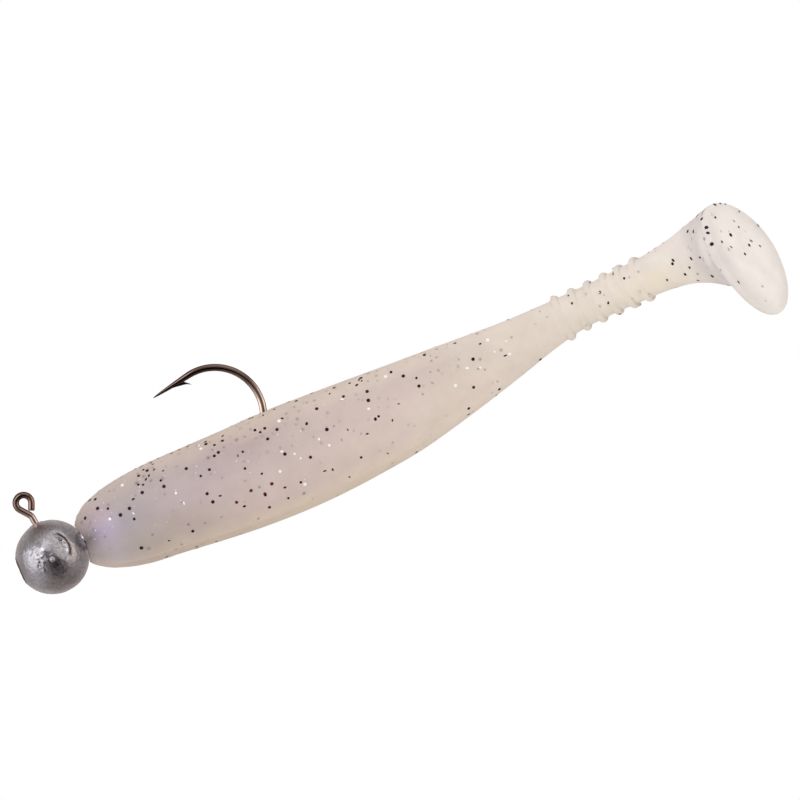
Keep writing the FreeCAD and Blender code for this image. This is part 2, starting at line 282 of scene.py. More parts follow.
def paddle_points(y, z, across):
    """Points of the paddle: y and z in its own oval, across its thickness from its bowed middle."""
    down = np.clip(-z / PADDLE_HALF_HEIGHT, 0, 1)
    bow = np.sqrt(PADDLE_BOW_R ** 2 - z ** 2) - PADDLE_BOW_R + PADDLE_FOOT_BACK * down ** 2
    y = y * (1 - PADDLE_FOOT_NARROW * down)
    a = radians(PADDLE_LEAN)
    x = bow + across
    return np.stack([PADDLE_X + x * cos(a) - z * sin(a), y,
                     PADDLE_Z + x * sin(a) + z * cos(a)], axis=1)


def paddle_ring(share, inset, across):
    """A ring of the paddle at a share of its oval, drawn in by an inset."""
    y = (PADDLE_HALF_WIDTH - inset) * share * np.sin(AROUND)
    z = (PADDLE_HALF_HEIGHT - inset) * share * np.cos(AROUND)
    return paddle_points(y, z, across)


def nose_seat_rings():
    """The hollow of the nose that sits on the ball, from its middle out to the rim. At the sides it
    leaves the ball sooner, as the rim lies further back there."""
    rings = []
    rim = asin(min(1.0, BODY_HALF(NOSE_X) / BALL_R))
    reach = rim * (1 - NOSE_SEAT_SIDES * np.sin(AROUND) ** 2)
    for share in (0.25, 0.5, 0.75, 0.93):
        r = BALL_R * np.sin(reach * share)
        x = BALL_R * np.cos(reach * share) + NOSE_CLEAR
        rings.append(np.stack([x, r * np.sin(AROUND), r * np.cos(AROUND)], axis=1))
    return rings


def rib_places():
    """Middles of the ribs on the straight stem, from the tail hinges in the frame."""
    return (TAIL_HINGES_X[:-1] + TAIL_HINGES_X[1:]) / 2


def stem_rings(proud=RIB_PROUD):
    """Rings along the stem with a half-round bead at each rib, which of them are crests, and how
    deep between the beads each lies, 0 to 1, which sets the light painted there against the shade."""
    rings, crests, groove = [], [], []
    ribs = rib_places()

    # depth sets how much light is painted there, most at a bead's foot where shade falls
    def put(x, height, lean, depth):
        rings.append(body_ring(x, height, lean))
        groove.append(depth)

    for i, rib in enumerate(ribs):
        lean = RIB_LEAN * ease((rib - STEM_X) / 1.2)
        before = ribs[i - 1] + RIB_CLEAR if i else STEM_X
        for x in np.linspace(before, rib - RIB_CLEAR, 3 if i else 5):
            put(x, 0.0, RIB_LEAN * ease((x - STEM_X) / 1.2), 0.45 if i and x > before else 0.7)
        put(rib - RIB_FOOT, RIB_FOOT_PROUD, lean, 1.0)
        for angle in range(-78, 79, 13):
            if angle == 0:
                crests.append(len(rings))
            a = radians(angle)
            put(rib + RIB_BEAD_R * sin(a), proud * cos(a), lean, ease((abs(angle) - 30) / 48))
        put(rib + RIB_FOOT, RIB_FOOT_PROUD, lean, 1.0)
    put(ribs[-1] + RIB_CLEAR, 0.0, RIB_LEAN, 0.6)
    groove[:5] = [0.0, 0.0, 0.0, 0.1, 0.3]
    return rings, crests, groove


def paddle_rings(foot):
    """From the flare's foot over the front face, round the rim, to the middle of the rear face.
    Also how much shade is painted on each ring, 1 to 0, deepest in the fold before the rim."""
    rings, crease = [], []
    sharp = 1 - ease((PADDLE_Z + PADDLE_HALF_HEIGHT * np.cos(AROUND) + 3.0) / 4.0)
    right = np.clip(-np.sin(AROUND), 0, 1)
    front_edge = paddle_ring(1.0, PADDLE_RIM_R * sharp, -PADDLE_HALF_THICKNESS)
    reach = np.linalg.norm(front_edge - foot, axis=1)
    a = radians(PADDLE_LEAN)
    for t in (0.1, 0.22, 0.38, 0.55, 0.72, 0.87):
        flat = foot + (front_edge - foot) * t
        z = (flat[:, 2] - PADDLE_Z) / cos(a)
        on_face = paddle_points(flat[:, 1], z, np.full(len(AROUND), -PADDLE_HALF_THICKNESS))
        settle = ease(t / 0.45) * np.clip(reach / 2.5, 0, 1) * sharp
        rings.append(flat + (on_face - flat) * settle[:, None])
        crease.append((0.75 - 0.4 * t) + (0.2 + 0.3 * t) * right)
    for angle in range(-90, 91, 18):
        b = radians(angle)
        inset = PADDLE_RIM_R * (1 - cos(b)) * (sharp if angle < 0 else 1)
        rings.append(paddle_ring(1.0, inset, PADDLE_HALF_THICKNESS * sin(b)))
        over = (angle + 90) / 180
        crease.append(0.35 - 0.25 * over + (0.5 + 0.2 * over) * right)
    for share in np.arange(0.94, 0.05, -0.08):
        rings.append(paddle_ring(share, PADDLE_RIM_R, PADDLE_HALF_THICKNESS))
        crease.append((0.1 + 0.7 * right) * (1 - ease((1 - share) / (0.3 + 0.25 * right))))
    return rings, crease


# ---- hinges of the frame ----

JOINTS = {j["name"]: j for j in frame["joints"]}
BODY_JOINTS = ["body_sway_front", "body_sway_rear"]
TAIL_JOINTS = ["tail_kick_1", "tail_lift_1", "tail_kick_2", "tail_lift_2", "tail_kick_3",
               "tail_lift_3", "tail_kick_4"]


def joint_place(name):
    return np.array(JOINTS[name]["pos_m"]) / MM - BALL_CENTRE


def straight_places():
    """X of every tail hinge on the straight bait: the chain's lengths laid end to end."""
    places = [joint_place(n) for n in TAIL_JOINTS]
    flat = [p * (1, 1, 0) for p in places]
    steps = [np.linalg.norm(b - a) for a, b in zip(flat, flat[1:])]
    return places[0][0] + np.concatenate([[0.0], np.cumsum(steps)])


TAIL_HINGES_X = straight_places()
# each upright tail hinge swings as far to one side as the other when the bait is straight
KICKS = [(x, radians(-sum(JOINTS[n]["range_deg"]) / 2))
         for n, x in zip(TAIL_JOINTS, TAIL_HINGES_X) if n.startswith("tail_kick")]
KICK_REACH = 1.0


def kicked(points):
    """Bends points of the straight bait round the upright tail hinges, to where it lies."""
    points = np.array(points, float)
    straight_x = points[:, 0].copy()
    for x, angle in reversed(KICKS):
        a = angle * ease((straight_x - x + KICK_REACH) / (2 * KICK_REACH))
        dx, dy = points[:, 0] - x, points[:, 1].copy()
        points[:, 0] = x + dx * np.cos(a) - dy * np.sin(a)
        points[:, 1] = dx * np.sin(a) + dy * np.cos(a)
    return points


def placed(points):
    """From the ball's centre in millimetres to the frame in metres."""
    return (np.asarray(points) + BALL_CENTRE) * MM


# ---- meshes ----

def new_mesh(name, points, faces, materials, values=None, smooth=True):
    """A mesh object, with a number on each point for every name in values."""
    mesh = bpy.data.meshes.new(name)
    mesh.from_pydata([tuple(p) for p in points], [], faces)
    mesh.polygons.foreach_set("use_smooth", [smooth] * len(mesh.polygons))
    for material in materials:
        mesh.materials.append(material)
    mesh.update()
    for key, column in (values or {}).items():
        attribute = mesh.attributes.new(key, "FLOAT", "POINT")
        attribute.data.foreach_set("value", np.asarray(column, np.float32))
    obj = bpy.data.objects.new(name, mesh)
    bpy.context.scene.collection.objects.link(obj)
    return obj


def ring_faces(start, count, rings):
    """Quads between rings of count points, laid one after another from start."""
    faces = []
    for r in range(rings - 1):
        a, b = start + r * count, start + (r + 1) * count
        for j in range(count):
            k = (j + 1) % count
            faces.append((a + j, b + j, b + k, a + k))
    return faces


def fan(tip, start, count, reverse=False):
    """Triangles between a tip and a ring of count points."""
    sides = [(start + j, start + (j + 1) % count) for j in range(count)]
    return [(tip, b, a) if reverse else (tip, a, b) for a, b in sides]


def circle(sides):
    """The angles of equal steps round a circle."""
    return [2 * pi * j / sides for j in range(sides)]


class Skin:
    """All rings of the soft plastic from nose to tail, and where it is divided."""

    def __init__(self):
        rings = nose_seat_rings()
        rings += [body_ring(NOSE_X + 6 * (i / 20) ** 2) for i in range(21)]
        front = list(np.arange(11.0, STEM_X - 0.3, 0.6))
        self.cuts = [len(rings) + int(np.argmin(np.abs(np.array(front) - x))) for x in (50.0, 66.0)]
        rings += [body_ring(x) for x in front]
        stem, crests, groove = stem_rings()
        self.cuts += [len(rings) + c for c in crests]
        stem_start = len(rings)
        rings += stem
        crease = [0.0] * len(rings)
        flare = np.concatenate([np.arange(FLARE_X - 0.2, 103.0, 0.5),
                                np.arange(103.0, FLARE_FOOT_X, 0.3)])
        rings += [flare_ring(x) for x in flare]
        # painted shade in the fold where the flare runs into the paddle
        crease += list(ease((flare - 97.3) / 4.2) * (1 - 0.25 * ease((flare - 102.5) / 2.5)))
        paddle, painted_paddle_shade = paddle_rings(flare_ring(FLARE_FOOT_X))
        rings += paddle
        self.count = len(AROUND)
        self.rings = len(rings)
        groove = [0.0] * stem_start + groove
        groove += [0.0] * (self.rings - len(groove))
        self.straight = np.concatenate(rings)
        self.ends = np.array([[BALL_R + NOSE_CLEAR, 0, 0], np.mean(rings[-1], axis=0)])
        self.points = placed(kicked(np.concatenate([self.straight, self.ends])))
        rings[stem_start:stem_start + len(stem)] = stem_rings(proud=0.0)[0]
        beadless = placed(kicked(np.concatenate(rings + [self.ends])))
        self.normals = self.soft_normals(beadless)
        self.values = {
            "along": self.straight[:, 0], "rise": self.heights(),
            "turn": np.tile(FROM_BOTTOM, self.rings),
            "crease": np.concatenate([np.repeat(crease, self.count)] + painted_paddle_shade),
            "groove": np.repeat(groove, self.count)}

    def faces(self):
        n, end = self.count, self.rings * self.count
        return ring_faces(0, n, self.rings) + fan(end, 0, n) + fan(end + 1, end - n, n, True)

    def whole_normals(self, points):
        mesh = bpy.data.meshes.new("whole")
        mesh.from_pydata([tuple(p) for p in points], [], self.faces())
        mesh.update()
        normals = np.array([v.vector[:] for v in mesh.vertex_normals])
        bpy.data.meshes.remove(mesh)
        return normals

    def soft_normals(self, beadless):
        """Normals of the whole skin. Light wanders in the milky plastic, so small relief is shaded
        more weakly than its shape: ribs count for a share, and the paddle's rim is evened out."""
        normals = BEAD_SHADING * self.whole_normals(self.points)
        normals += (1 - BEAD_SHADING) * self.whole_normals(beadless)
        grid = normals[:self.rings * self.count].reshape(self.rings, self.count, 3)
        first = int(np.argmin(np.abs(self.straight[::self.count, 0] - FLARE_X)))
        for _ in range(SOFTENING):
            part = grid[first:]
            part[1:-1] = 0.25 * part[:-2] + 0.5 * part[1:-1] + 0.25 * part[2:]
        return normals / np.linalg.norm(normals, axis=1, keepdims=True)

    def heights(self):
        """-1 at the bottom of each ring, 1 at its top."""
        z = self.straight[:, 2].reshape(self.rings, self.count)
        low, high = z.min(axis=1, keepdims=True), z.max(axis=1, keepdims=True)
        return ((z - low) / (high - low) * 2 - 1).ravel()


def skin_piece(skin, name, first, last, material):
    """Rings first to last as one closed piece, shaded as part of the whole skin."""
    n = skin.count
    rings = last - first + 1
    span = slice(first * n, (last + 1) * n)
    points, normals = list(skin.points[span]), list(skin.normals[span])
    values = {key: list(column[span]) for key, column in skin.values.items()}
    faces = ring_faces(0, n, rings)
    flat = set()
    for end, ring in enumerate((first, last)):
        base = end * (rings - 1) * n
        whole = ring in (0, skin.rings - 1)
        if not whole:
            flat.update(range(len(faces), len(faces) + n))
        faces += fan(len(points), base, n, end == 1)
        tip = skin.rings * n + end
        points.append(skin.points[tip] if whole else np.mean(points[base:base + n], axis=0))
        normals.append(skin.normals[tip] if whole else np.array([0.0, 0, 1]))
        for key, centre in (("along", values["along"][base]), ("rise", 0.0), ("turn", 90.0),
                            ("crease", 0.0), ("groove", 0.0)):
            values[key].append(centre)
    obj = new_mesh(name, points, faces, [material], values)
    obj.data.normals_split_custom_set([
        tuple(p.normal) if p.index in flat else tuple(normals[v])
        for p in obj.data.polygons for v in p.vertices])
    return obj


# ---- glitter ----

FLAKE_SIDES = 6
FLAKE_BOTTOM = -0.03  # its underside lies this far under the skin
FLAKE_SPACING = 0.62  # the least distance between two flakes of a kind
FLAKE_KINDS = ("black", "deep", "silver", "spark", "red")
# radius, spread of the radius, height of the top over the skin
FLAKE_SIZES = {"black": (0.24, 0.22, 0.016), "deep": (0.33, 0.25, 0.01),
               "silver": (0.22, 0.3, 0.02), "spark": (0.14, 0.4, 0.012), "red": (0.25, 0.12, 0.016)}


def clumps(point, size, seed):
    """Between 0 and about 2: flakes stand in loose clumps."""
    value = noise.noise(Vector(point) * size + Vector((seed, 0, 0)))
    return max(0.15, 1.0 + 1.6 * value)


def flake_density(point, rise, kind):
    """Flakes of a kind per square millimetre at a place on the straight skin."""
    x = point[0]
    upper = ease((rise + 0.35) / 0.7)
    nose = ease((x - 5.0) / 8.0)
    tail = ease((x - 66.0) / 12.0)
    paddle = ease((x - 102.0) / 3.0)
    if kind == "black":
        back = 0.12 * bump((rise - 0.72) / 0.25) * (1 - ease((x - 30) / 14))
        body = (0.045 + 0.12 * upper + back) * (0.45 + 0.55 * nose)
        disc = 0.17 * ease((rise - 0.2) / 0.3) + 0.02
        flare = 0.13 + 0.2 * upper * bump((x - 98.0) / 4.5)
        flare *= 1 - 0.8 * bump((rise + 0.9) / 0.35)
        soft = body * (1 - tail) + flare * tail * (1 - paddle)
        return clumps(point, 0.22, 3.0) * soft + disc * paddle
    if kind == "deep":
        body = 0.08 + 0.26 * upper
        return clumps(point, 0.2, 9.0) * (body * (1 - 0.35 * tail)) * (1 - 0.6 * paddle)
    if kind == "silver":
        return 0.045 * clumps(point, 0.15, 17.0) * bump((rise - 0.2) / 0.55) * (1 - 0.85 * tail)
    # painted glints: white soft spots where flakes deep in the plastic catch the light, most at the
    # front
    if kind == "spark":
        front = 0.45 * (1 - ease((x - 16) / 26)) + 0.05
        return front * clumps(point, 0.2, 23.0) * bump((rise - 0.25) / 0.5) * (1 - tail)
    return 0.07 * bump((rise + 0.45) / 0.3) * ease((x - 20) / 6) * (1 - ease((x - 60) / 8))


def scatter(skin, kind):
    """Seeded places for one kind of flake: ring, share of ring, angle step, share of step."""
    n = skin.count
    grid = skin.points[:skin.rings * n].reshape(skin.rings, n, 3) / MM
    straight = skin.straight.reshape(skin.rings, n, 3)
    rise = skin.values["rise"].reshape(skin.rings, n)
    found, taken = [], []
    for r in range(5, skin.rings - 1):
        along = np.linalg.norm(grid[r + 1] - grid[r], axis=1)
        across = np.linalg.norm(np.roll(grid[r], -1, axis=0) - grid[r], axis=1)
        for j in range(n):
            chance = along[j] * across[j] * flake_density(straight[r, j], rise[r, j], kind)
            if RANDOM.rand() < chance and all(
                    np.linalg.norm(grid[r, j] - other) > FLAKE_SPACING for other in taken):
                found.append((r, RANDOM.rand(), j, RANDOM.rand()))
                taken.append(grid[r, j])
    return found


def in_slit(skin, spot):
    """True where a flake would lie across the belly slit."""
    ring, _, j, _ = spot
    x = skin.straight[ring * skin.count + j, 0]
    return SLIT_START - 1 < x < SLIT_END + 1 and FROM_BOTTOM[j] < SLIT_HALF_ANGLE + 2.5


def flake(skin, spot, kind):
    """A plate lying in the skin: its top corners, bottom corners and top centre, and the skin's
    values at its place."""
    r, u, j, v = spot
    n = skin.count
    place = r * n + j
    k = r * n + (j + 1) % n
    near, next_round = [skin.points[i] * (1 - u) + skin.points[i + n] * u for i in (place, k)]
    centre = Vector(near * (1 - v) + next_round * v)
    normal = Vector(skin.normals[place]).normalized()
    first = normal.orthogonal().normalized()
    first = Matrix.Rotation(RANDOM.rand() * 2 * pi, 3, normal) @ first
    second = normal.cross(first)
    radius, spread, top = FLAKE_SIZES[kind]
    radius *= RANDOM.uniform(1 - spread, 1 + spread)
    radius *= 1 + 0.15 * ease((skin.straight[place, 0] - 92.0) / 10.0)
    squeeze = 1.0 if RANDOM.rand() < 0.55 else RANDOM.uniform(0.4, 0.9)
    corners = [centre + (first * cos(a) * radius + second * sin(a) * radius * squeeze
                         + normal * height) * MM
               for height in (top, FLAKE_BOTTOM) for a in circle(FLAKE_SIDES)]
    corners.append(centre + normal * top * MM)
    return corners, {key: column[place] for key, column in skin.values.items()}


def flake_piece(name, flakes, materials):
    """Many flakes as one object. Each is its corners, its place's values on the skin, its kind."""
    s = FLAKE_SIDES
    count = 2 * s + 1
    points, faces, kinds, depths = [], [], [], []
    for corners, _, kind in flakes:
        base = len(points)
        points += corners
        steps = [(base + i, base + (i + 1) % s) for i in range(s)]
        faces += [(base + 2 * s, a, b) for a, b in steps]
        faces.append(tuple(base + s + i for i in reversed(range(s))))
        faces += [(a, a + s, b + s, b) for a, b in steps]
        kinds += [FLAKE_KINDS.index(kind)] * count
        depths += [RANDOM.uniform(0.1, 1.0)] * count
    values = {key: np.repeat([place[key] for _, place, _ in flakes], count)
              for key in flakes[0][1]}
    values["depth"] = depths
    values["core"] = ([0.0] * (2 * s) + [1.0]) * len(flakes)
    obj = new_mesh(name, points, faces, materials, values, smooth=False)
    obj.data.polygons.foreach_set("material_index", kinds)
    return obj


# ---- lead ball ----

def pit_place(x, z):
    """Where a place on the near side lies in the big oval pit: how far across towards its steep
    wall, -1 to 1 inside, and how far out from its middle, 1 at its edge."""
    x, z = x - PIT_X, z - PIT_Z
    across = (x * cos(PIT_TILT) + z * sin(PIT_TILT)) / PIT_HALF_WIDTH
    along = (z * cos(PIT_TILT) - x * sin(PIT_TILT)) / PIT_HALF_LENGTH
    return across, hypot(across, along)


def pit(across, ring):
    """An oval pit, shallow on one side, with a steep wall, a lip and a fold on the other."""
    side = ease((across + 0.7) / 1.3)
    hollow = -0.46 * bump(ring ** 1.6) * (0.4 + 0.6 * side)
    lip = 0.07 * bump((ring - 1.12) / 0.16) * side
    fold = 0.16 * bump((ring - 1.3) / 0.1) * ease((across + 0.1) / 0.6)
    return hollow + lip - fold


def blister(distance, height, radius):
    """A round blister in a shallow moat."""
    share = distance / radius
    return height * (bump(share) - 0.12 * bump((share - 1.5) / 0.5))


def ball_dents(x, y, z):
    """How far the cast surface stands out, at a place on the near or far side of the ball."""
    out = 0.03 * noise.fractal(Vector((x, y, z)) * 0.4, 0.8, 2.0, 4)
    out += 0.008 * noise.noise(Vector((x, y, z)) * 3.0)
    if y < 0:
        out += pit(*pit_place(x, z))
        for middle_x, middle_z, stretch, height, radius in BLISTERS:
            distance = hypot(x - middle_x, (z - middle_z) / stretch)
            out += blister(distance, height, radius)
        rough = bump(hypot((x + 1.75) / 0.65, (z - 0.35) / 1.7))
        out += 0.12 * rough * noise.noise(Vector((x * 2.6, 3.0, z * 2.6)))
        out += 0.045 * rough * noise.noise(Vector((x * 6.0, 5.0, z * 6.0)))
    neck = hypot(x - NECK_X, y)
    if z > 0:
        out += -0.22 * bump(neck / 0.5) + 0.10 * bump((neck - 0.72) / 0.24)
    if x < 0:
        out -= 0.15 * bump((hypot(y, z) - SPRUE_FLAT_R - SPRUE_GROOVE_OUT) / 0.1)
    return out


def dull_and_shadow_at(p):
    """0 where the lead is bright, 1 where it is brown and dull, towards nose and belly,
    and 2 for painted shadow, black in the ring round the cut sprue and the fold beside the big pit."""
    back = (p.x * 0.92 - p.z * 0.4) / BALL_R
    up = (p.x * 0.4 + p.z * 0.92) / BALL_R
    shade = 0.3 * ease((back - 0.35) / 0.4) * bump((up - 0.15) / 0.5)
    shade += 0.45 * bump((up + 0.6) / 0.3) * ease((back + 0.4) / 0.4)
    shade += 0.4 * bump(hypot(back + 0.25, up - 0.65) / 0.22)
    near = ease(0.3 - p.y / 1.6)
    # painted shadow: black in the ring round the cut sprue, wider on the near side
    off = hypot(p.y, p.z) - SPRUE_FLAT_R - SPRUE_GROOVE_OUT - 0.25 * near
    cut = bump(off / (0.14 + 0.26 * near)) if p.x < 0 else 0.0
    # painted shadow in the fold beside the big pit
    if p.y < 0:
        across, ring = pit_place(p.x, p.z)
        cut = max(cut, bump((ring - 1.22) / 0.14) * ease((across - 0.3) / 0.5))
    return float(max(min(1.0, shade), 2.0 * cut))


def make_ball(material):
    """The ball as a fine grid round the X axis, with its sprue flat, dents and casting marks."""
    rows, columns = 200, 280
    flat_x = -sqrt(BALL_R ** 2 - SPRUE_FLAT_R ** 2) + 0.05
    points, dull_and_shadow = [], []
    for i in range(1, rows):
        t = pi * i / rows
        for a in circle(columns):
            n = Vector((-cos(t), sin(t) * sin(a), sin(t) * cos(a)))
            p = n * (BALL_R - UNDER_CAD)
            p += n * ball_dents(*p)
            if p.x < flat_x:
                p.x = flat_x + 0.05 * noise.noise(Vector((p.y, p.z, 0)) * 1.6)
            points.append(placed(p))
            dull_and_shadow.append(dull_and_shadow_at(p))
    faces = [tuple(reversed(f)) for f in ring_faces(0, columns, rows - 1)]
    end = len(points)
    faces += fan(end, 0, columns, True) + fan(end + 1, end - columns, columns)
    points += [placed([flat_x, 0, 0]), placed([BALL_R - UNDER_CAD, 0, 0])]
    dull_and_shadow += [0.3, 1.0]
    ball = new_mesh("lead_ball", points, faces, [material], {"dull_and_shadow": dull_and_shadow})
    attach(ball, "head_and_front")
    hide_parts("lead_head")


def make_collar(material):
    """The cast neck behind the ball with its two keeper rings, hidden in the nose."""
    outline = ((4.6, 1.55), (7.4, 1.55), (7.4, 2.3), (9.6, 1.6), (10.4, 1.55), (10.4, 2.3),
               (12.6, 1.6), (12.9, 1.45), (13.0, 1.2))  # distance from the ball's centre, radius
    tilt = radians(SHANK_RISE)
    sides = 48
    points = []
    for along, radius in outline:
        for a in circle(sides):
            up = radius * cos(a)
            points.append(placed([along * cos(tilt) - up * sin(tilt),
                                  radius * sin(a),
                                  along * sin(tilt) + up * cos(tilt)]))
    faces = ring_faces(0, sides, len(outline))
    base = (len(outline) - 1) * sides
    faces.append(tuple(range(sides)))
    faces.append(tuple(base + j for j in reversed(range(sides))))
    collar = new_mesh("lead_collar", points, faces, [material], smooth=False)
    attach(collar, "head_and_front")


# ---- hook wire ----

class WirePath:
    """Stations along a wire bent in the XZ plane, its heading in degrees from +X towards +Z."""

    def __init__(self, x, z, heading):
        self.x, self.z, self.heading = x, z, heading
        self.stations = []

    def mark(self, depth=WIRE_R, width=WIRE_R):
        self.stations.append((self.x, self.z, self.heading, depth, width))

    def line(self, length, steps):
        h = radians(self.heading)
        for _ in range(steps):
            self.x += length / steps * cos(h)
            self.z += length / steps * sin(h)
            self.mark()

    def to_shank(self):
        """How far straight on the shank's line lies, through the ball's centre."""
        slope = tan(radians(SHANK_RISE))
        h = radians(self.heading)
        return (slope * self.x - self.z) / (sin(h) - slope * cos(h))

    def arc(self, radius, turn, steps, sizes=lambda share: (WIRE_R, WIRE_R)):
        side = copysign(radius, turn)
        for i in range(steps):
            before = radians(self.heading)
            self.heading += turn / steps
            after = radians(self.heading)
            self.x += side * (sin(after) - sin(before))
            self.z -= side * (cos(after) - cos(before))
            self.mark(*sizes((i + 1) / steps))


def hook_stations():
    """The whole wire: cut end, eye, neck, the corner in the ball, shank, forged bend and point."""
    heading = radians(EYE_END_HEADING)
    eye = -BALL_CENTRE
    path = WirePath(eye[0] + EYE_RING_R * sin(heading) - EYE_END_LENGTH * cos(heading),
                    eye[2] - EYE_RING_R * cos(heading) - EYE_END_LENGTH * sin(heading),
                    EYE_END_HEADING)
    bevel = 0.05
    path.mark(0.72 * WIRE_R, 0.72 * WIRE_R)
    path.line(bevel, 1)
    path.stations[-1] = path.stations[-1][:3] + (0.93 * WIRE_R, 0.93 * WIRE_R)
    path.line(EYE_END_LENGTH - bevel, 5)
    path.arc(EYE_RING_R, EYE_TURN, 60)
    path.heading -= 360
    neck_turn = NECK_HEADING - path.heading
    neck_tangent = NECK_ARC_R * tan(radians(abs(neck_turn) / 2))
    path.line(NECK_SLANT_LENGTH - neck_tangent, 6)
    path.arc(NECK_ARC_R, neck_turn, 14)
    corner_turn = SHANK_RISE - NECK_HEADING
    corner_tangent = SHANK_CORNER_R * tan(radians(corner_turn / 2))
    path.line(path.to_shank() - corner_tangent, 10)
    path.arc(SHANK_CORNER_R, corner_turn, 14)
    rise = radians(SHANK_RISE)
    path.line((BEND_X + BEND_R * sin(rise) - path.x) / cos(rise), 30)
    forged = lambda s: (WIRE_R + (FORGED_HALF_DEPTH - WIRE_R) * ease(4 * s) - 0.04 * s ** 6,
                        WIRE_R + (FORGED_HALF_WIDTH - WIRE_R) * ease(4 * s))
    path.arc(BEND_R, SPEAR_HEADING - path.heading, 90, forged)
    bend_end = (path.x, path.z)
    heading = radians(path.heading)
    for s in np.linspace(0, 1, 27)[1:]:
        path.x = bend_end[0] + s * SPEAR_LENGTH * cos(heading)
        path.z = bend_end[1] + s * SPEAR_LENGTH * sin(heading)
        taper = (1 - s) ** 0.62
        path.mark(0.02 + 0.44 * taper, 0.02 + 0.34 * taper)
    return path.stations, bend_end


def wire_point(station, depth, width):
    x, z, heading = station[:3]
    h = radians(heading)
    return placed([x + depth * sin(h), width, z - depth * cos(h)])


def make_hook(material):
    stations, bend_end = hook_stations()
    sides = 32
    points = [wire_point(station, station[3] * cos(a), station[4] * sin(a))
              for station in stations for a in circle(sides)]
    faces = ring_faces(0, sides, len(stations))
    base = (len(stations) - 1) * sides
    faces.append(tuple(reversed(range(sides))))
    faces.append(tuple(base + j for j in range(sides)))
    barb_points, barb_faces = barb(bend_end, len(points))
    # share along the wire, for its painted reflection
    painted_sheen = list(np.repeat(np.linspace(0, 1, len(stations)), sides)) + [1.0] * len(barb_points)
    hook = new_mesh("hook_wire", points + barb_points, faces + barb_faces, [material],
                    {"painted_sheen": painted_sheen})
    for cap in (1, 2):
        hook.data.polygons[len(faces) - cap].use_smooth = False
    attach(hook, "head_and_front")
    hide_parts("jig_hook")


def barb(bend_end, base):
    """The barb: a curved sliver lifted from the inner side of the point, sharp at its free end.
    Each station is the distance along the spear, the depth of its two edges, and its half width."""
    stations = ((2.9, 0.05, 0.28, 0.20), (2.2, 0.05, 0.45, 0.19), (1.5, 0.1, 0.68, 0.17),
                (1.05, 0.2, 0.82, 0.15), (0.86, 0.52, 0.90, 0.13), (0.6, 0.86, 1.08, 0.10),
                (0.42, 1.08, 1.21, 0.06), (0.26, 1.35, 1.37, 0.01))
    sides = 12
    points = []
    h = radians(SPEAR_HEADING)
    for along, inner, outer, width in stations:
        for a in circle(sides):
            below = (inner + outer) / 2 + (outer - inner) / 2 * cos(a)
            x = bend_end[0] + along * cos(h) - below * sin(h)
            z = bend_end[1] + along * sin(h) + below * cos(h)
            points.append(placed([x, width * sin(a), z]))
    faces = [tuple(reversed(f)) for f in ring_faces(base, sides, len(stations))]
    last = base + (len(stations) - 1) * sides
    faces.append(tuple(base + j for j in range(sides)))
    faces.append(tuple(last + j for j in reversed(range(sides))))
    return points, faces


# ---- materials ----

def rgb(r, g, b):
    """Linear colour from the familiar 0 to 255 values."""
    values = [c / 255 for c in (r, g, b)]
    return tuple(c / 12.92 if c <= 0.04045 else ((c + 0.055) / 1.055) ** 2.4
                 for c in values) + (1.0,)


class Nodes:
    """A small helper that adds nodes to one material or world and links them."""

    def __init__(self, owner):
        self.owner = owner
        owner.use_nodes = True
        self.nodes = owner.node_tree.nodes

    def put(self, value, socket):
        """Sets an input to a number or a colour, or links an output to it."""
        if isinstance(value, (int, float, tuple)):
            socket.default_value = value
        else:
            self.owner.node_tree.links.new(value, socket)

    def shade(self, name, value):
        """The same for an input of the material's shader."""
        self.put(value, self.nodes["Principled BSDF"].inputs[name])

    def add(self, kind, inputs, **settings):
        """A new node's outputs. Its inputs are given by name or number."""
        node = self.nodes.new("ShaderNode" + kind)
        for key, value in settings.items():
            setattr(node, key, value)
        for key, value in inputs.items():
            self.put(value, node.inputs[key])
        return node.outputs

    def attribute(self, name):
        return self.add("Attribute", {}, attribute_name=name)["Fac"]

    def noise(self, scale, detail=3.0, roughness=0.5):
        return self.add("TexNoise", {"Vector": self.add("TexCoord", {})["Object"], "Scale": scale,
                                     "Detail": detail, "Roughness": roughness})["Fac"]

    def ramp(self, factor, stops, interpolation="EASE"):
        colour = self.add("ValToRGB", {"Fac": factor})["Color"]
        ramp = colour.node.color_ramp
        ramp.interpolation = interpolation
        while len(ramp.elements) < len(stops):
            ramp.elements.new(0.5)
        for element, stop in zip(ramp.elements, stops):
            element.position, element.color = stop
        return colour

    def map_range(self, value, low, high, to_low=0.0, to_high=1.0, **settings):
        return self.add("MapRange", {"Value": value, "From Min": low, "From Max": high,
                                     "To Min": to_low, "To Max": to_high}, **settings)["Result"]

    def math(self, operation, *values):
        return self.add("Math", dict(enumerate(values)), operation=operation)["Value"]

    def times(self, a, b):
        return self.math("MULTIPLY", a, b)

    def drift(self, scale, amount):
        """Noise that wanders either side of 0."""
        return self.times(self.math("SUBTRACT", self.noise(scale, 2.0), 0.5), amount)

    def mix(self, factor, a, b, blend="MIX"):
        return self.add("Mix", {0: factor, 6: a, 7: b}, data_type="RGBA", blend_type=blend)[2]

    def bump(self, height, strength, distance):
        self.shade("Normal", self.add("Bump", {
            "Height": height, "Strength": strength, "Distance": distance})["Normal"])


def new_material(name):
    return Nodes(bpy.data.materials.new(name))


PLASTIC_LENGTH = 110.0  # the colour ramps run over this length from the ball's centre
